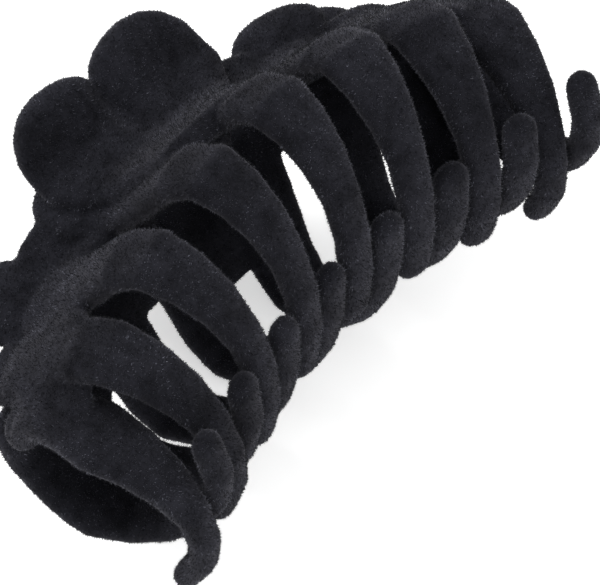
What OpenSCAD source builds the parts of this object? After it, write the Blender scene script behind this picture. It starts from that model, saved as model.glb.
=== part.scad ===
/* [Clip] */
// Length of a jaw, before its end tines are trimmed and lean inwards
clip_length = 97; // [85:1:120]
// Fall of the arched spine from the middle to the ends
spine_drop = 15.3; // [10:0.1:20]
// Rise of the spine's edge beside the handle
spine_rise = 5.5; // [3:0.1:7]
// Depth of the middle tines
jaw_depth = 30.2; // [26:0.1:38]
// Depth of the end tines
end_depth = 25.4; // [21:0.1:30]
// Inward lean of the tines towards the ends, in degrees a half length
tine_fan = 40; // [30:1:44]

/* [Jaws] */
// Distance from the clip's centre plane to the bulge of a middle tine
bulge = 24.3; // [20:0.1:30]
// Distance from the clip's centre plane to the bulge of an end tine
end_bulge = 9.6; // [8:0.1:13]
// Distance from the centre plane to the middle of the spine's wall, away from the hinge
spine_gap = 2.4; // [2.3:0.1:4]
// Height of the spine's band from its edge to the slots
spine_band = 10.4; // [8:0.1:12]
// Wall of the spine's band
spine_wall = 2.8; // [2.6:0.1:3.8]

/* [Tines] */
// Width of a tine where it leaves the spine
tine_root_w = 11; // [10:0.1:13]
// Width of a tine at its bulge
tine_bulge_w = 9; // [7:0.1:10]
// Wall of a tine at its root
tine_wall = 4.4; // [3:0.1:5]
// Wall of a tine at its tip
tine_tip_wall = 3.2; // [2.6:0.1:4]
// Width of an end tine at its bulge
end_tine_w = 10; // [7:0.1:11]
// Rise of each tine's rounded top above the spine
hump = 3.2; // [1:0.1:4]
// Extra rise of the rounded tops beside the handle
shoulder = 1; // [0:0.1:3]
// Gap between neighbouring tips of the closed jaws
tip_gap = 0.5; // [0.4:0.05:1]

/* [Handles] */
// Width of a handle over its two lobes
handle_w = 32.5; // [26:0.5:38]
// Length of a handle from its bend to its tip
handle_l = 12.4; // [10:0.1:18]
// Outward tilt of a handle from upright, in degrees
handle_tilt = 33; // [28:1:50]
// Wall of a handle
handle_wall = 4.2; // [3:0.1:5]
// Depth of the notch between the two lobes
lobe_notch = 4; // [1:0.1:6]

/* [Hinge] */
// Diameter of the steel hinge pin
pin_d = 2; // [1.5:0.1:2.6]
// Radial running clearance of the pin in a knuckle
pin_clearance = 0.05; // [0.02:0.01:0.08]
// Outer diameter of a hinge knuckle
knuckle_d = 6; // [5:0.1:7.5]
// Length of a hinge knuckle along the pin
knuckle_w = 3; // [2.4:0.1:3.6]
// Gap between neighbouring knuckles
knuckle_gap = 0.4; // [0.3:0.05:0.8]
// Room between a knuckle and the spine's wall beside it
hinge_room = 4.3; // [3.5:0.1:6]
// Diameter of the spring wire
wire_d = 1.2; // [0.8:0.1:1.4]

/* [Hidden] */

// tines stand at stations u, from -1 at one end of the clip to nearly 1 at the other;
// the other jaw is the same moulding turned round, so its tines fall in between
tines = 8;
quarter_pitch = 0.25;
span = (tines - 1) / 2 + quarter_pitch;
half_x = (clip_length - end_tine_w) / 2;
crowding = 1.41;                // the tines stand closer together towards the ends
arch_power = 1.67;
pocket_u = 0.3;                 // half width of the hinge pocket
hinge_pocket = knuckle_d / 2 + hinge_room + spine_wall / 2 - spine_gap;

function mix(a, b, w) = a + (b - a) * w;
function bell(x, width) = exp(-pow(x / width, 2));
function unit(v) = v / norm(v);
function station(i) = (i - (tines - 1) / 2 - quarter_pitch) / span;
function spine_x(u) = half_x * u * (crowding - (crowding - 1) * u * u);
function spine_z(u) = -spine_drop * pow(abs(u), arch_power);
function lean(u) = tine_fan * (u - 0.71 * pow(u, 3));

// profile of a tine as [distance down, distance from the centre plane]:
// v is -1 at the spine's edge, 1 at the bulge and 2 at the tip
bulge_down = 15.3;
end_bulge_down = 10.5;
tip_turn = 11;                  // how far past its lowest point a tine curls, in degrees
end_tip_turn = 32;
curl_y = 0.7;                   // how far past the centre plane the curl is centred
end_curl_y = 4.5;
flare_power = 1.1;
rise_tilt = 0.8;                // how much more one end's half rises than the other's
rise_dip = 0.35;                // share by which the edge dips behind the handle
rise_u = 0.55;                  // where the edge falls away towards the ends
function rise(u) = spine_rise * (1 - rise_tilt * u) * (1 - rise_dip * bell(u, 0.2))
    / (1 + pow(u / rise_u, 8)) + 0.01;
function start_y(u) = spine_gap + hinge_pocket * bell(u, pocket_u);
function bulge_y(u) = mix(bulge, end_bulge, u * u * (1.3 - 0.3 * u * u));
function bulge_s(u) = mix(bulge_down, end_bulge_down, u * u * (1.3 - 0.3 * u * u));
function depth(u) = mix(jaw_depth, end_depth, pow(u, 4));
function curl(u) = -mix(curl_y, end_curl_y, u * u);
function tip_angle(u) = mix(tip_turn, end_tip_turn, u * u);
function flare(u, x) = mix((1 - cos(180 * pow(x, flare_power))) / 2, sqrt(1 - pow(1 - x, 2)), u * u);
function collar(u, v) = [v * rise(u), start_y(u)];
function upper(u, v) = let(x = 1 - cos(90 * v))
    [bulge_s(u) * x, mix(start_y(u), bulge_y(u), flare(u, x))];
function lower(u, v) = let(a = 90 - (90 + tip_angle(u)) * (v - 1))
    [bulge_s(u) + (depth(u) - bulge_s(u)) * cos(a), curl(u) + (bulge_y(u) - curl(u)) * sin(a)];
function profile(u, v) = v < 0 ? collar(u, v) : v < 1 ? upper(u, v) : lower(u, v);
function place(u, p) = [spine_x(u) - p[0] * sin(lean(u)), -p[1], spine_z(u) - p[0] * cos(lean(u))];
function surf(u, v) = place(u, profile(u, v));
function v_at(u, down) = down < 0 ? down / rise(u) : acos(1 - min(down / bulge_s(u), 1)) / 90;

// directions on a jaw's surface: across a tine, down it, and out of it
function side_dir(u) = [cos(lean(u)), 0, -sin(lean(u))];
function along(u, v) = unit(surf(u, v + 0.01) - surf(u, max(v - 0.01, -1)));
function outward(u, v) = unit(cross(along(u, v), side_dir(u)));

// closed ring drawn round a centre, between an ellipse and a rectangle
ring_sides = 12;
soft = 0.85;                    // 1 is an ellipse, smaller is squarer
function rounded(x) = sign(x) * pow(abs(x), soft);
function ring(centre, across, out, half_w, half_t) =
    [for (k = [0:ring_sides - 1]) let(a = 360 * (k + 0.5) / ring_sides)
        centre + across * half_w * rounded(cos(a)) - out * half_t * rounded(sin(a))];

// closed solid through a list of rings with the same number of points
module skin(rings) {
    n = len(rings[0]);
    last = (len(rings) - 1) * n;
    start_cap = [[for (k = [n - 1:-1:0]) k]];
    end_cap = [[for (k = [0:n - 1]) last + k]];
    sides = [for (j = [0:n:last - n], k = [0:n - 1]) let(a = j + k, b = j + (k + 1) % n)
        each [[a, b, b + n], [a, b + n, a + n]]];
    polyhedron([for (r = rings) each r], concat(start_cap, sides, end_cap));
}

// where the jaws cross, a tine passes between two of the other jaw's
crossing_v = 1.78;
function crossing(u) = surf(u, crossing_v);
function turned(p) = [-p[0], -p[1], p[2]];
function room_beside(u, other) = abs((turned(crossing(other)) - crossing(u)) * side_dir(u));
function tip_w(i) = min([for (j = [tines - 2 - i:tines - 1 - i + 1]) if (j >= 0 && j < tines)
    room_beside(station(i), station(j))]) - tip_gap;

// one tine: rounded top, hooked band, rounded tip
cap_steps = [75, 50, 25];
tine_steps = 13;
root_v = 0.4;                   // where a tine has its root width
narrow_v = 1.55;                // where it has narrowed to its tip
function pitch(u) = norm([spine_x(u + 0.5 / span) - spine_x(u - 0.5 / span),
    spine_z(u + 0.5 / span) - spine_z(u - 0.5 / span)]);
function top_w(u) = max(pitch(u), tine_root_w);
function bulge_w(u) = mix(tine_bulge_w, end_tine_w, u * u);
function tine_w(i, v) = let(u = station(i)) v < root_v
    ? mix(top_w(u), tine_root_w, max(v, 0) / root_v)
    : v < 1 ? mix(tine_root_w, bulge_w(u), (v - root_v) / (1 - root_v))
    : mix(bulge_w(u), tip_w(i), min((v - 1) / (narrow_v - 1), 1));
// the rounded tops beside the handle are taller and lean away from it
beside_handle = [tines / 2 - 2, tines / 2 + 1];
function is_beside(i) = i == beside_handle[0] || i == beside_handle[1];
function hump_h(i) = hump + (is_beside(i) ? shoulder : 0);
top_spread = 3.5;
function away(i, v) = is_beside(i)
    ? sign(i - tines / 2 + 0.5) * top_spread * max(root_v - v, 0) / (1 + root_v) : 0;
function tine_t(v) = mix(tine_wall, tine_tip_wall, max(v, 0) / 2);
// the outer side of an end tine runs straight up instead of widening into the spine
function trim(u, v) = sign(u) * pow(abs(u), 4) * (tine_root_w - bulge_w(u) * 0.8)
    * (v < root_v ? 1 : v < 1 ? (1 - v) / (1 - root_v) : 0);
function tine_ring(i, v, push = 0, scale = 1) = let(u = station(i), cut = trim(u, v))
    ring(surf(u, v) + along(u, v) * push + side_dir(u) * (away(i, v) - cut / 2),
         side_dir(u), outward(u, v), (tine_w(i, v) - abs(cut)) / 2 * scale, tine_t(v) / 2 * scale);
module tine(i) {
    skin(concat(
        [for (a = cap_steps) tine_ring(i, -1, -hump_h(i) * sin(a), cos(a))],
        [for (k = [0:tine_steps]) tine_ring(i, k == 0 ? -1 : 2 * (k - 1) / (tine_steps - 1))],
        [for (k = [len(cap_steps) - 1:-1:0]) let(a = cap_steps[k])
            tine_ring(i, 2, tip_w(i) / 2 * sin(a), cos(a))]));
}

// spine band along the arch, from its edge down to the slots
band_steps = 21;
// [place down the band, share of the wall] of each row
band_rows = [[0, 0.4], [0.04, 0.8], [0.15, 1], [0.4, 1], [0.65, 1], [0.85, 1], [0.96, 0.8], [1, 0.4]];
function band_point(u, row, side) = let(v = v_at(u, row[0] * spine_band - rise(u)))
    surf(u, v) + outward(u, v) * side * row[1] * spine_wall / 2;
function band_ring(u) = concat(
    [for (k = [0:len(band_rows) - 1]) band_point(u, band_rows[k], -1)],
    [for (k = [len(band_rows) - 1:-1:0]) band_point(u, band_rows[k], 1)]);
module spine() {
    skin([for (k = [0:band_steps]) band_ring(mix(station(0), station(tines - 1), k / band_steps))]);
}

// handle: plate with two lobes that rises from the two middle tines and bends outwards
handle_u = (station(tines / 2 - 1) + station(tines / 2)) / 2;
handle_x = spine_x(handle_u) + 1.5;
handle_root = 12.5;             // how far the plate runs down between the tines
handle_low = 1.5;               // how far below the spine's edge the bend starts
handle_bend = 5;                // length over which the plate bends outwards
handle_proud = 0.7;             // how far the plate stands out of the spine's wall
handle_side = 0.3;              // share of the length at which the lobes reach their full width
bend_r = handle_bend / (handle_tilt * PI / 180);
bend_z = rise(handle_u) - handle_low;
function bent(r) = let(a = handle_tilt * min(r / handle_bend, 1), far = max(r - handle_bend, 0))
    [-bend_z - bend_r * sin(a) - far * cos(a), start_y(handle_u) + bend_r * (1 - cos(a)) + far * sin(a)];
function handle_line(r) = r < 0 ? profile(handle_u, v_at(handle_u, -bend_z - r)) : bent(r);
function handle_mid(r) = let(p = handle_line(r)) [handle_x, -p[1], -p[0]];
function handle_out(r) = let(d = unit(handle_mid(r + 0.05) - handle_mid(r - 0.05))) [0, -d[2], d[1]];
function handle_point(r) = handle_mid(r) + handle_out(r) * handle_proud;
function lobe_top(q) = let(from_lobe = abs(q) * 2 - 1, round_off = 1 - sqrt(1 - pow(from_lobe, 2)))
    handle_l - (from_lobe < 0 ? lobe_notch : handle_l * (1 - handle_side)) * round_off;
// groove between the lobes down the handle's outer face
groove = 1.5;                   // depth
groove_w = 0.13;                // half width, as a share of half the handle
function crease(q, s) = groove * bell(q, groove_w) * min(max(s + 0.4, 0) * 2, 1);
// places across a handle, from one side at -1 to the other at 1
handle_places = [-1, -0.96, -0.85, -0.7, -0.5, -0.32, -0.18, -0.07, 0,
    0.07, 0.18, 0.32, 0.5, 0.7, 0.85, 0.96, 1];
function edge_round(q) = sqrt(1 - pow(abs(q), 6));
function handle_vertex(s, q, wall, face) =
    let(r = s < 0 ? s * handle_root : s * lobe_top(q),
        half_w = handle_w / 2 * (s < 0 ? mix(1, 0.5, -s) : 1),
        half_t = (handle_wall / 2 * edge_round(q) - (face > 0 ? crease(q, s) : 0)) * wall)
    handle_point(r) + [half_w * q, 0, 0] + handle_out(r) * half_t * face;
function handle_ring(s, wall) = let(last = len(handle_places) - 1) concat(
    [for (k = [last:-1:0]) handle_vertex(s, handle_places[k], wall, 1)],
    [for (k = [1:last - 1]) handle_vertex(s, handle_places[k], wall, -1)]);
// [place from the root at -1 to the rim at 1, share of the wall] of each ring
handle_rings = [[-1, 0.7], [-0.8, 0.9], [-0.6, 1], [-0.4, 1], [-0.2, 1], [0, 1], [0.15, 1], [0.3, 1],
    [0.5, 1], [0.7, 1], [0.86, 0.95], [0.94, 0.8], [0.985, 0.5], [1, 0.25]];
module handle() {
    skin([for (h = handle_rings) handle_ring(h[0], h[1])]);
}

// hinge: pin through two knuckles of each jaw, with the spring's coil between
hinge_z = 0.5;
coil_turns = 5.5;
coil_gap = 0.06;
coil_l = coil_turns * (wire_d + coil_gap) + wire_d;
inner_knuckle = coil_l / 2 + knuckle_gap;
outer_knuckle = inner_knuckle + knuckle_w + knuckle_gap;
hinge_l = 2 * (outer_knuckle + knuckle_w);
pin_head_d = pin_d + 1.2;
pin_head_l = 0.7;
function u_near(x) = x / (half_x * crowding);
module knuckle(x) {
    reach = start_y(u_near(x)) + spine_wall / 4;
    translate([x, 0, hinge_z]) {
        rotate([0, 90, 0]) cylinder(d = knuckle_d, h = knuckle_w, $fn = 48);
        translate([0, -reach, -knuckle_d / 2]) cube([knuckle_w, reach, knuckle_d * 0.9]);
    }
}
module pin_bore() {
    translate([-hinge_l, 0, hinge_z]) rotate([0, 90, 0])
        cylinder(d = pin_d + 2 * pin_clearance, h = 2 * hinge_l, $fn = 48);
}

// a jaw stands at the front of the clip, its handle up; its shell is merged into one mesh
module jaw_shell() {
    resize([0, 0, 0]) {
        spine();
        handle();
        for (i = [0:tines - 1]) tine(i);
    }
}
module jaw() {
    difference() {
        union() {
            jaw_shell();
            knuckle(-outer_knuckle - knuckle_w);
            knuckle(inner_knuckle);
        }
        pin_bore();
    }
}

// the clip lies on its rear jaw, handles towards +Y, front jaw up,
// its origin in the middle of the space that the closed jaws hold
grip_depth = 21;
module lay() {
    rotate([-90, 0, 0]) translate([0, 0, grip_depth]) children();
}
module front_jaw() {
    color("#1c1b1f") lay() jaw();
}
module rear_jaw() {
    color("#232227") lay() rotate([0, 0, 180]) jaw();
}
module hinge_pin() {
    color("silver") lay() translate([0, 0, hinge_z]) rotate([0, 90, 0]) {
        cylinder(d = pin_d, h = hinge_l + 2 * knuckle_gap, center = true, $fn = 48);
        for (end = [-1, 1]) translate([0, 0, end * (hinge_l + pin_head_l + knuckle_gap) / 2])
            cylinder(d = pin_head_d, h = pin_head_l, center = true, $fn = 48);
    }
}

// spring: coil on the pin and a straight leg along the inner face of each handle
coil_r = pin_d / 2 + 0.55 + wire_d / 2;
leg_at = handle_l * 0.6;        // where on the handle a leg presses
leg_clearance = 0.35;
leg_end = let(p = handle_point(leg_at) - handle_out(leg_at) * (handle_wall / 2 + leg_clearance + wire_d / 2))
    [p[1], p[2] - hinge_z];
leg_turn = acos(coil_r / norm(leg_end));
leg_angle = atan2(leg_end[1], leg_end[0]) + leg_turn;
coil_sweep = 360 * floor(coil_turns) + 2 * (270 - leg_angle);
coil_steps = 66;
function coil_point(a, x) = [x, coil_r * cos(a), hinge_z + coil_r * sin(a)];
function wire_path() = let(
        coil = [for (k = [0:coil_steps]) let(t = k / coil_steps)
            coil_point(leg_angle + t * coil_sweep, (t - 0.5) * (coil_l - wire_d))],
        end = [coil[0][0], leg_end[0], leg_end[1] + hinge_z])
    concat([end], coil, [turned(end)]);
wire_sides = 8;
module torsion_spring() {
    path = wire_path();
    n = len(path);
    color("gainsboro") lay() skin([for (k = [0:n - 1])
        let(d = unit(path[min(k + 1, n - 1)] - path[max(k - 1, 0)]),
            out = unit(cross(d, [1, 0, 0.02])), across = cross(d, out))
        [for (j = [0:wire_sides - 1]) let(a = 360 * j / wire_sides)
            path[k] + (across * cos(a) + out * sin(a)) * wire_d / 2]]);
}

front_jaw();
rear_jaw();
hinge_pin();
torsion_spring();
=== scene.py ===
import math

import bmesh
import bpy
from bpy.props import (
    FloatProperty,
    FloatVectorProperty,
    IntProperty,
    PointerProperty,
    StringProperty,
)
from mathutils import Matrix, Vector


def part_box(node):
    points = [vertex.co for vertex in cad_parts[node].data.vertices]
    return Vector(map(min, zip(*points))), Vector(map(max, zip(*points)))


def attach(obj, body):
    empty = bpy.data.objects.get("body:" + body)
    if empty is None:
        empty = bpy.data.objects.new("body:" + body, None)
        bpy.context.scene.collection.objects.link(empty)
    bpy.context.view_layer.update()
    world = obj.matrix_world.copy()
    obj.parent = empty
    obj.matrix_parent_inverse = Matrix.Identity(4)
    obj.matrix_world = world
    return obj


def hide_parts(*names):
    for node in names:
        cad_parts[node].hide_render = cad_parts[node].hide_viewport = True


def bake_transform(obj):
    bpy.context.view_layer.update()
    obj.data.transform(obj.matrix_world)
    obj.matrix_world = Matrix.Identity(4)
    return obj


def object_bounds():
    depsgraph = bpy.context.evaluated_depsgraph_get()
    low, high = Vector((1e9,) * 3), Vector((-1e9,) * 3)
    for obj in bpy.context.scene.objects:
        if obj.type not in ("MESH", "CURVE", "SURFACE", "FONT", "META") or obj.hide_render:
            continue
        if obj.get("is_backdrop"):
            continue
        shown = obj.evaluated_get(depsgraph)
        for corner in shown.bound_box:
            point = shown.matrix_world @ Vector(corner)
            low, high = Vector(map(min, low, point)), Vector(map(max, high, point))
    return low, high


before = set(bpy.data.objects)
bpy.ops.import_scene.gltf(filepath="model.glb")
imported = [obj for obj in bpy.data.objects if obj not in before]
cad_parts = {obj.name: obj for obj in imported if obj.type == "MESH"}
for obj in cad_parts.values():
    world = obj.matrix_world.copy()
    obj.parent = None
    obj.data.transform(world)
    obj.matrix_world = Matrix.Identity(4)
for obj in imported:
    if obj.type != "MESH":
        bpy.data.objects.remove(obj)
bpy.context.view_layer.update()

bl_info = {
    "name": "Flocked claw clip",
    "version": (1, 0, 0),
    "blender": (4, 5, 0),
    "location": "View3D > Sidebar > Claw clip",
    "description": "Builds a velvet-flocked claw clip with its spring and pin on a pale stage",
    "category": "Object",
}

MM = 0.001
WELD = 0.002 * MM           # points closer than this are one point

# sizes of the flock's uneven patches and of its finest grain
CLOUD = 9 * MM
PATCH = 2.2 * MM
GRAIN = 0.34 * MM
# depth of the flock's grain, and how deep a fibre's foot is sunk in the skin
GRAIN_DEPTH = 0.12 * MM
SINK = 0.06 * MM

# the steel's drawing marks, its smears, and the depth of the marks
MARK = 0.12 * MM
SMEAR = 2.5 * MM
MARK_DEPTH = 0.01 * MM
MARK_STRETCH = 0.12

WIRE_SIDES = 12
STEPS_A_TURN = 22

FLOOR_RADIUS = 3.0
LIGHT_DISTANCE = 0.6

JAW_BODIES = {"front_jaw": "front", "rear_jaw": "rear"}
SEEDS = {"front": 11, "rear": 16}
SEEDS_A_LAYER = 10


# ---------------------------------------------------------------- settings

class FlockSettings(bpy.types.PropertyGroup):
    """The moulded jaws and the short velvet pile on them."""

    grain: FloatProperty(
        name="Skin grain", description="Edge length of the moulding's surface mesh",
        default=0.46 * MM, min=0.3 * MM, max=1 * MM, subtype="DISTANCE", unit="LENGTH")
    rounding: IntProperty(
        name="Rounding", description="Passes that round the moulding's corners and fillets",
        default=6, min=0, max=60)
    fullness: FloatProperty(
        name="Fullness", description="How far the flock's base stands out of the moulding",
        default=0.16 * MM, min=0, max=0.5 * MM, subtype="DISTANCE", unit="LENGTH")
    fibres: IntProperty(
        name="Fibres", description="Number of fibres in one layer of pile on a jaw",
        default=48000, min=1000, max=49000)
    layers: IntProperty(
        name="Layers", description="Layers of pile on a jaw, one piece each",
        default=3, min=1, max=4)
    fibre_length: FloatProperty(
        name="Fibre length", description="Length of the longest fibres",
        default=0.44 * MM, min=0.1 * MM, max=1.5 * MM, subtype="DISTANCE", unit="LENGTH")
    shortest: FloatProperty(
        name="Shortest fibre", description="Size of the smallest fibres as a share of the largest",
        default=0.45, min=0.1, max=1, subtype="FACTOR")
    fibre_width: FloatProperty(
        name="Fibre width", description="Width of a fibre at its foot",
        default=0.13 * MM, min=0.02 * MM, max=0.4 * MM, subtype="DISTANCE", unit="LENGTH")
    fibre_lean: FloatProperty(
        name="Fibre lean", description="Largest lean of a fibre from upright",
        default=math.radians(30), min=0, max=math.radians(80), subtype="ANGLE", unit="ROTATION")
    ground: FloatVectorProperty(
        name="Ground colour", description="Colour deep in the flock",
        default=(0.0044, 0.0045, 0.0062), size=3, min=0, max=1, subtype="COLOR")
    # painted sheen: the lighter colour of the mottled patches, standing for light caught by the pile
    # where it lies the other way
    painted_nap_sheen: FloatVectorProperty(
        name="Nap colour", description="Colour where the flock lies the other way",
        default=(0.0150, 0.0152, 0.0200), size=3, min=0, max=1, subtype="COLOR")
    fibre_dark: FloatVectorProperty(
        name="Dark fibre", description="Colour of the darkest fibres",
        default=(0.0034, 0.0036, 0.0052), size=3, min=0, max=1, subtype="COLOR")
    # painted glint: the colour of the few fibres painted light to stand for fibres catching the light
    fibre_glint: FloatVectorProperty(
        name="Light fibre", description="Colour of the lightest fibres",
        default=(0.150, 0.154, 0.190), size=3, min=0, max=1, subtype="COLOR")


class HingeSettings(bpy.types.PropertyGroup):
    """The steel pin and the torsion spring."""

    wire: FloatProperty(
        name="Wire", description="Diameter of the spring wire",
        default=1.2 * MM, min=0.5 * MM, max=2 * MM, subtype="DISTANCE", unit="LENGTH")
    turns: IntProperty(
        name="Turns", description="Whole turns of the spring's coil",
        default=5, min=2, max=9)
    steel: FloatVectorProperty(
        name="Steel", description="Colour of the plated steel",
        default=(0.55, 0.55, 0.56), size=3, min=0, max=1, subtype="COLOR")


class StageSettings(bpy.types.PropertyGroup):
    """The floor, the lights and the camera."""

    floor: FloatVectorProperty(
        name="Floor", description="Colour of the floor",
        default=(0.93, 0.93, 0.93), size=3, min=0, max=1, subtype="COLOR")
    key: FloatProperty(
        name="Key light", description="Power of the large soft light",
        default=2.5, min=0, unit="POWER")
    fill: FloatProperty(
        name="Fill light", description="Power of the light from the other side",
        default=1.2, min=0, unit="POWER")
    glow: FloatProperty(
        name="Floor glow", description="Light of the floor itself, as on a lit table",
        default=0.45, min=0)
    sky: FloatProperty(
        name="Surrounding light", description="Strength of the even light from all round",
        default=1.0, min=0)
    azimuth: FloatProperty(
        name="Azimuth", description="Direction the camera looks from, round the upright axis",
        default=math.radians(-52.65), subtype="ANGLE", unit="ROTATION")
    elevation: FloatProperty(
        name="Elevation", description="Height of the camera above the horizon",
        default=math.radians(55.19), subtype="ANGLE", unit="ROTATION")
    roll: FloatProperty(
        name="Roll", description="Turn of the camera about its own axis",
        default=math.radians(3.04), subtype="ANGLE", unit="ROTATION")
    place: FloatVectorProperty(
        name="Camera place", description="Where the camera stands",
        default=(-0.21873, -0.16937, 0.38930), size=3, subtype="TRANSLATION", unit="LENGTH")
    lens: FloatProperty(
        name="Lens", description="Focal length on a 36 mm sensor, in millimetres",
        default=221.54, min=20)


# ---------------------------------------------------------------- finishes

class Level:
    """A number in a material, so that sums are written as plain expressions."""

    def __init__(self, finish, socket):
        self.finish = finish
        self.socket = socket

    def maths(self, operation, first, second):
        return self.finish.add("ShaderNodeMath", {"operation": operation}, {0: first, 1: second})

    def __add__(self, other):
        return self.maths("ADD", self, other)

    def __radd__(self, other):
        return self.maths("ADD", other, self)

    def __sub__(self, other):
        return self.maths("SUBTRACT", self, other)

    def __rsub__(self, other):
        return self.maths("SUBTRACT", other, self)

    def __mul__(self, other):
        return self.maths("MULTIPLY", self, other)

    def __rmul__(self, other):
        return self.maths("MULTIPLY", other, self)

    def __pow__(self, other):
        return self.maths("POWER", self, other)

    def clamped(self, low, high):
        """This level spread from low..high to 0..1."""
        return self.finish.add(
            "ShaderNodeMapRange", {"clamp": True},
            {"Value": self, "From Min": low, "From Max": high})


class Finish:
    """A procedural material with one Principled shader."""

    def __init__(self, name, **constants):
        self.material = bpy.data.materials.new(name)
        self.material.use_nodes = True
        self.tree = self.material.node_tree
        self.shader = next(n for n in self.tree.nodes if n.type == "BSDF_PRINCIPLED")
        for socket, value in constants.items():
            self.shader.inputs[socket.replace("_", " ")].default_value = value
        self.place = self.add("ShaderNodeTexCoord", {}, {}, "Object")

    def add(self, kind, settings, values, out=0):
        """Adds a node: its settings come first, then the values or links of its sockets."""
        node = self.tree.nodes.new(kind)
        for key, value in settings.items():
            setattr(node, key, value)
        for key, value in values.items():
            if isinstance(value, Level):
                self.tree.links.new(value.socket, node.inputs[key])
            else:
                node.inputs[key].default_value = value
        return Level(self, node.outputs[out])

    def noise(self, size, detail=2.0, rough=0.5, shift=0.0):
        """Cloudy noise whose lumps are about this size."""
        spot = self.add("ShaderNodeMapping", {}, {"Vector": self.place, "Location": (shift,) * 3})
        return self.add(
            "ShaderNodeTexNoise", {"noise_dimensions": "3D"},
            {"Vector": spot, "Scale": 1 / size, "Detail": detail, "Roughness": rough}, "Fac")

    def mix(self, share, low, high):
        """A colour between low and high."""
        def whole(colour):
            return colour if isinstance(colour, Level) else (*colour, 1)
        return self.add(
            "ShaderNodeMix", {"data_type": "RGBA"},
            {0: share, 6: whole(low), 7: whole(high)}, 2)

    def drive(self, socket, level):
        self.tree.links.new(level.socket, self.shader.inputs[socket])

    def bump(self, height, distance, strength):
        self.drive("Normal", self.add(
            "ShaderNodeBump", {}, {"Height": height, "Distance": distance, "Strength": strength}))


def nap_and_painted_sheen_noise(finish):
    """Slow and quick changes in how the pile lies, the same in the bed and the fibres: they set where the
    sheen is painted, and the bed's bump.
    """
    return finish.noise(CLOUD, 3.0, 0.55), finish.noise(PATCH, 3.0, 0.6, 0.03)


def flock_ground(flock):
    """The bed of the pile: dark, with painted sheen in lighter mottled patches where the pile lies
    different ways.
    """
    finish = Finish(
        "velvet flock", Roughness=0.95, Sheen_Weight=0.12, Sheen_Roughness=0.42,
        Sheen_Tint=(0.80, 0.78, 0.90, 1), Specular_IOR_Level=0.08)
    clouds, patches = nap_and_painted_sheen_noise(finish)
    grain = finish.noise(GRAIN, 2.0, 0.7, 0.07)
    # painted sheen: the mottle lightens the bed from the ground colour towards the sheen colour
    painted_nap_sheen = (clouds * 0.42 + patches * 0.30 + grain * 0.28).clamped(0.40, 0.62)
    finish.drive("Base Color", finish.mix(painted_nap_sheen, flock.ground, flock.painted_nap_sheen))
    finish.bump(grain * 0.7 + patches * 0.3, GRAIN_DEPTH, 0.8)
    return finish.material


def flock_fibres(flock):
    """The fibres: a random few are painted light as glints, and the painted sheen of the pile's patches
    shows through.
    """
    finish = Finish(
        "flock fibres", Roughness=0.55, Sheen_Weight=0.13, Sheen_Roughness=0.3,
        Sheen_Tint=(0.84, 0.82, 0.93, 1), Specular_IOR_Level=0.16)
    glint = finish.add("ShaderNodeAttribute", {"attribute_name": "glint"}, {}, "Fac")
    clouds, patches = nap_and_painted_sheen_noise(finish)
    # painted sheen: the same mottled patches lighten the fibres too
    painted_nap_sheen = (clouds * 0.55 + patches * 0.45).clamped(0.41, 0.60)
    # painted glints: a few random fibres, more of them in the sheen patches, take the light fibre colour
    share = ((glint ** 4.0) * (painted_nap_sheen * 0.85 + 0.15)).clamped(0.0, 0.85)
    finish.drive("Base Color", finish.mix(share, flock.fibre_dark, flock.fibre_glint))
    finish.drive("Roughness", 0.68 - glint * 0.3)
    return finish.material


def plated_steel(hinge):
    """Plated steel with fine drawing marks along the pin."""
    finish = Finish("plated steel", Metallic=1.0)
    stretched = finish.add(
        "ShaderNodeMapping", {}, {"Vector": finish.place, "Scale": (MARK_STRETCH, 1.0, 1.0)})
    marks = finish.add(
        "ShaderNodeTexNoise", {"noise_dimensions": "3D"},
        {"Vector": stretched, "Scale": 1 / MARK, "Detail": 3.0}, "Fac")
    smears = finish.noise(SMEAR, 2.0)
    dull = tuple(c * 0.72 for c in hinge.steel)
    finish.drive("Base Color", finish.mix(smears.clamped(0.35, 0.7), hinge.steel, dull))
    finish.drive("Roughness", 0.2 + marks * 0.22)
    finish.bump(marks, MARK_DEPTH, 0.4)
    return finish.material


def plain_floor(stage):
    """The pale floor, which glows a little so that shadows stay faint."""
    finish = Finish(
        "pale floor", Roughness=0.8, Specular_IOR_Level=0.2,
        Emission_Color=(1, 1, 1, 1), Emission_Strength=stage.glow)
    clouds = finish.noise(0.4, 1.0)
    shade = tuple(c * 0.99 for c in stage.floor)
    finish.drive("Base Color", finish.mix(clouds, stage.floor, shade))
    return finish.material


# ---------------------------------------------------------------- shapes

def finished(name, mesh, material, body=None):
    """Links a finished mesh as a piece at the origin, and rides it on its body."""
    mesh.name = name
    mesh.materials.clear()
    mesh.materials.append(material)
    piece = bpy.data.objects.new(name, mesh)
    bpy.context.scene.collection.objects.link(piece)
    if body:
        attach(piece, body)
    return piece


def modified(mesh, modifiers):
    """A new mesh: the given one with modifiers applied, each a type and its settings."""
    carrier = bpy.data.objects.new("carrier", mesh)
    bpy.context.scene.collection.objects.link(carrier)
    for kind, settings in modifiers:
        modifier = carrier.modifiers.new(kind.lower(), kind)
        for key, value in settings.items():
            setattr(modifier, key, value)
    bpy.context.view_layer.update()
    seen = carrier.evaluated_get(bpy.context.evaluated_depsgraph_get())
    result = bpy.data.meshes.new_from_object(seen)
    bpy.data.objects.remove(carrier)
    return result


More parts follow.
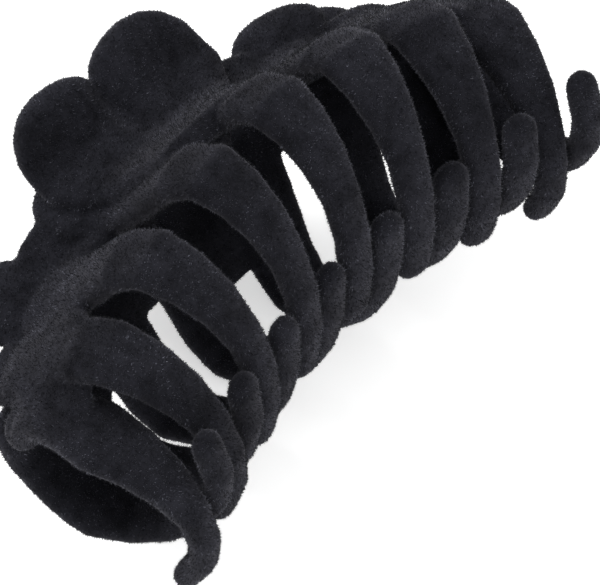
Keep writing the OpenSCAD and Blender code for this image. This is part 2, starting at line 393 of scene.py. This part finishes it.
def moulding_skin(node, flock):
    """A jaw's outer skin: the CAD solid remeshed, its corners and fillets rounded."""
    shell = bmesh.new()
    shell.from_mesh(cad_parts[node].data)
    bmesh.ops.remove_doubles(shell, verts=shell.verts, dist=WELD)
    bmesh.ops.recalc_face_normals(shell, faces=shell.faces)
    joined = bpy.data.meshes.new(node + "_joined")
    shell.to_mesh(joined)
    shell.free()
    skin = modified(joined, [
        ("REMESH", {"mode": "VOXEL", "voxel_size": flock.grain, "adaptivity": 0}),
        ("SMOOTH", {"factor": 0.5, "iterations": flock.rounding}),
        ("DISPLACE", {"strength": flock.fullness, "mid_level": 0.0, "direction": "NORMAL"}),
    ])
    for face in skin.polygons:
        face.use_smooth = True
    return skin


def pile_maker(flock, skin, seed):
    """Geometry nodes that stand tapered fibres all over a skin."""
    area = sum(face.area for face in skin.polygons)
    tree = bpy.data.node_groups.new("pile", "GeometryNodeTree")
    tree.interface.new_socket("Skin", in_out="INPUT", socket_type="NodeSocketGeometry")
    tree.interface.new_socket("Pile", in_out="OUTPUT", socket_type="NodeSocketGeometry")

    def add(kind, settings=None, **values):
        node = tree.nodes.new(kind)
        for key, value in (settings or {}).items():
            setattr(node, key, value)
        for key, value in values.items():
            socket = node.inputs[key.replace("_", " ")]
            if isinstance(value, bpy.types.NodeSocket):
                tree.links.new(value, socket)
            else:
                socket.default_value = value
        return node

    skin_in = add("NodeGroupInput")
    pile_out = add("NodeGroupOutput")
    feet = add(
        "GeometryNodeDistributePointsOnFaces", {"distribute_method": "RANDOM"},
        Mesh=skin_in.outputs[0], Density=flock.fibres / area, Seed=seed)
    fibre = add(
        "GeometryNodeMeshCone", {"fill_type": "NGON"}, Vertices=3, Side_Segments=1,
        Radius_Top=0.0, Radius_Bottom=flock.fibre_width / 2, Depth=flock.fibre_length)
    sunk = add(
        "GeometryNodeTransform", Geometry=fibre.outputs["Mesh"],
        Translation=(0, 0, -SINK))
    lean = add(
        "FunctionNodeRandomValue", {"data_type": "FLOAT_VECTOR"}, Seed=seed + 1)
    lean.inputs[0].default_value = (-flock.fibre_lean, -flock.fibre_lean, 0)
    lean.inputs[1].default_value = (flock.fibre_lean, flock.fibre_lean, 2 * math.pi)
    leaning = add("FunctionNodeEulerToRotation", Euler=lean.outputs[0])
    turned = add(
        "FunctionNodeRotateRotation", {"rotation_space": "LOCAL"},
        Rotation=feet.outputs["Rotation"], Rotate_By=leaning.outputs[0])
    size = add("FunctionNodeRandomValue", {"data_type": "FLOAT"}, Seed=seed + 2)
    size.inputs[2].default_value = flock.shortest
    size.inputs[3].default_value = 1.0
    standing = add(
        "GeometryNodeInstanceOnPoints", Points=feet.outputs["Points"],
        Instance=sunk.outputs[0], Rotation=turned.outputs[0], Scale=size.outputs[1])
    # painted glint: a random share for each fibre, stored for the fibres' material
    glint = add("FunctionNodeRandomValue", {"data_type": "FLOAT"}, Seed=seed + 3)
    toned = add(
        "GeometryNodeStoreNamedAttribute", {"data_type": "FLOAT", "domain": "INSTANCE"},
        Geometry=standing.outputs[0], Name="glint", Value=glint.outputs[1])
    made = add("GeometryNodeRealizeInstances", Geometry=toned.outputs[0])
    tree.links.new(made.outputs[0], pile_out.inputs[0])
    return tree


def coiled_spring(hinge):
    """The spring's coil with a straight leg to each handle, as one closed wire.

    Returns its mesh, half the coil's length and the height of its axis.
    """
    low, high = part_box("torsion_spring")
    pin_low, pin_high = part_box("hinge_pin")
    axis_y = (pin_low.y + pin_high.y) / 2
    wire_r = hinge.wire / 2
    # the end of the front leg, as distances from the axis up and towards the handles
    leg_end = Vector((high.z - wire_r * 0.8, high.y - axis_y - wire_r * 0.6))
    coil_r = (axis_y - low.y) - wire_r
    reach = leg_end.length
    start = math.atan2(leg_end.y, -leg_end.x) + math.acos(coil_r / reach)
    sweep = 2 * math.pi * hinge.turns + 2 * (1.5 * math.pi - start)
    half = high.x - wire_r
    steps = STEPS_A_TURN * hinge.turns
    wire = bmesh.new()
    bmesh.ops.create_circle(wire, cap_ends=True, segments=WIRE_SIDES, radius=wire_r)
    # the first ring faces along the coil at the front leg's tangent point
    turn = Matrix.Rotation(start, 4, "X")
    bmesh.ops.transform(wire, verts=wire.verts, matrix=(
        Matrix.Translation((-half, axis_y, 0)) @ turn
        @ Matrix.Translation((0, 0, -coil_r)) @ Matrix.Rotation(math.radians(90), 4, "X")))
    first = wire.faces[:]
    spun = bmesh.ops.spin(
        wire, geom=wire.verts[:] + wire.edges[:] + wire.faces[:], cent=(0, axis_y, 0),
        axis=(1, 0, 0), dvec=(2 * half / steps, 0, 0), angle=sweep, steps=steps,
        use_merge=False, use_normal_flip=False, use_duplicate=False)
    last = [g for g in spun["geom_last"] if isinstance(g, bmesh.types.BMFace)]
    length = math.sqrt(reach ** 2 - coil_r ** 2)
    for faces, side in ((first, 1), (last, -1)):
        face = faces[0]
        middle = face.calc_center_median()
        tip = Vector((middle.x, axis_y + leg_end.y, side * leg_end.x))
        way = (tip - middle).normalized() * length
        grown = bmesh.ops.extrude_face_region(wire, geom=[face])
        bmesh.ops.translate(
            wire, vec=way, verts=[v for v in grown["geom"] if isinstance(v, bmesh.types.BMVert)])
        bmesh.ops.delete(wire, geom=[face], context="FACES_ONLY")
    bmesh.ops.remove_doubles(wire, verts=wire.verts, dist=WELD / 2)
    bmesh.ops.recalc_face_normals(wire, faces=wire.faces)
    mesh = bpy.data.meshes.new("spring")
    wire.to_mesh(mesh)
    wire.free()
    for face in mesh.polygons:
        face.use_smooth = len(face.vertices) == 4
    return mesh, half, axis_y


# ---------------------------------------------------------------- operators

class CLIP_OT_jaw(bpy.types.Operator):
    """Build one flocked jaw: its rounded moulding and the pile on it"""

    bl_idname = "clip.jaw"
    bl_label = "Flocked jaw"
    bl_options = {"REGISTER", "UNDO"}

    node: StringProperty(name="Jaw", description="CAD node that this jaw stands for", default="front_jaw")

    def execute(self, context):
        if self.node not in JAW_BODIES:
            raise ValueError(f"there is no jaw named {self.node}")
        flock = context.scene.clip_flock
        body = JAW_BODIES[self.node]
        skin = moulding_skin(self.node, flock)
        moulding = finished(body + "_moulding", skin, flock_ground(flock), body)
        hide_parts(self.node)
        fibres = flock_fibres(flock)
        for layer in range(flock.layers):
            maker = pile_maker(flock, skin, SEEDS[body] + SEEDS_A_LAYER * layer)
            pile = modified(skin.copy(), [("NODES", {"node_group": maker})])
            finished(f"{body}_pile_{layer + 1}", pile, fibres, body)
        return {"FINISHED"}


class CLIP_OT_hinge(bpy.types.Operator):
    """Build the hinge: the plated pin and the torsion spring"""

    bl_idname = "clip.hinge"
    bl_label = "Pin and spring"
    bl_options = {"REGISTER", "UNDO"}

    def execute(self, context):
        hinge = context.scene.clip_hinge
        steel = plated_steel(hinge)
        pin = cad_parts["hinge_pin"]
        pin.data.materials.clear()
        pin.data.materials.append(steel)
        mesh, half, axis_y = coiled_spring(hinge)
        spring = finished("spring", mesh, steel)
        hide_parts("torsion_spring")
        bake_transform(spring)
        return {"FINISHED"}


class CLIP_OT_stage(bpy.types.Operator):
    """Set the pale floor, the soft lights and the camera"""

    bl_idname = "clip.stage"
    bl_label = "Stage and camera"
    bl_options = {"REGISTER", "UNDO"}

    def execute(self, context):
        scene = context.scene
        stage = scene.clip_stage
        low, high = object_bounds()
        middle = (low + high) / 2
        ground = bmesh.new()
        bmesh.ops.create_circle(ground, cap_ends=True, segments=64, radius=FLOOR_RADIUS)
        bmesh.ops.translate(ground, verts=ground.verts, vec=(middle.x, middle.y, low.z))
        mesh = bpy.data.meshes.new("floor")
        ground.to_mesh(mesh)
        ground.free()
        finished("floor", mesh, plain_floor(stage))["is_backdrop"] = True

        world = bpy.data.worlds.new("even light")
        world.use_nodes = True
        sky = world.node_tree.nodes["Background"]
        sky.inputs["Color"].default_value = (1, 1, 1, 1)
        sky.inputs["Strength"].default_value = stage.sky
        scene.world = world

        back = Vector((
            math.sin(stage.azimuth) * math.cos(stage.elevation),
            -math.cos(stage.azimuth) * math.cos(stage.elevation),
            math.sin(stage.elevation)))
        facing = (-back).to_track_quat("-Z", "Y").to_matrix().to_4x4()
        facing = facing @ Matrix.Rotation(stage.roll, 4, "Z")
        lens = bpy.data.cameras.new("camera")
        lens.sensor_width = 36
        lens.lens = stage.lens
        lens.clip_start = 0.01
        lens.clip_end = 20
        camera = bpy.data.objects.new("camera", lens)
        camera.matrix_world = Matrix.Translation(stage.place) @ facing
        scene.collection.objects.link(camera)
        scene.camera = camera

        right, up = facing.col[0].xyz, facing.col[1].xyz
        for name, way, size, power in (
                ("key", back * 0.5 + up * 0.75 - right * 0.55, 0.35, stage.key),
                ("fill", back * 0.5 - up * 0.35 + right * 0.9, 0.45, stage.fill)):
            lamp = bpy.data.lights.new(name, "AREA")
            lamp.shape = "DISK"
            lamp.size = size
            lamp.energy = power
            light = bpy.data.objects.new(name, lamp)
            place = middle + way.normalized() * LIGHT_DISTANCE
            aim = (middle - place).to_track_quat("-Z", "Y").to_matrix().to_4x4()
            light.matrix_world = Matrix.Translation(place) @ aim
            scene.collection.objects.link(light)
            light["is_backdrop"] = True
        scene.view_settings.view_transform = "Standard"
        return {"FINISHED"}


class CLIP_PT_sidebar(bpy.types.Panel):
    """Claw clip settings"""

    bl_idname = "CLIP_PT_sidebar"
    bl_label = "Claw clip"
    bl_space_type = "VIEW_3D"
    bl_region_type = "UI"
    bl_category = "Claw clip"

    def draw(self, context):
        layout = self.layout
        scene = context.scene
        for title, group in (
                ("Jaws", scene.clip_flock), ("Hinge", scene.clip_hinge), ("Stage", scene.clip_stage)):
            box = layout.box()
            box.label(text=title)
            for name in group.bl_rna.properties.keys():
                if name not in {"rna_type", "name"}:
                    box.prop(group, name)
        for node in JAW_BODIES:
            layout.operator("clip.jaw").node = node
        layout.operator("clip.hinge")
        layout.operator("clip.stage")


CLASSES = (
    FlockSettings, HingeSettings, StageSettings,
    CLIP_OT_jaw, CLIP_OT_hinge, CLIP_OT_stage, CLIP_PT_sidebar,
)


def register():
    for each in CLASSES:
        bpy.utils.register_class(each)
    bpy.types.Scene.clip_flock = PointerProperty(type=FlockSettings)
    bpy.types.Scene.clip_hinge = PointerProperty(type=HingeSettings)
    bpy.types.Scene.clip_stage = PointerProperty(type=StageSettings)


def unregister():
    del bpy.types.Scene.clip_stage
    del bpy.types.Scene.clip_hinge
    del bpy.types.Scene.clip_flock
    for each in reversed(CLASSES):
        bpy.utils.unregister_class(each)


def main():
    """Builds every piece."""
    register()
    for node in JAW_BODIES:
        bpy.ops.clip.jaw(node=node)
    bpy.ops.clip.hinge()
    bpy.ops.clip.stage()


if __name__ == "__main__":
    main()
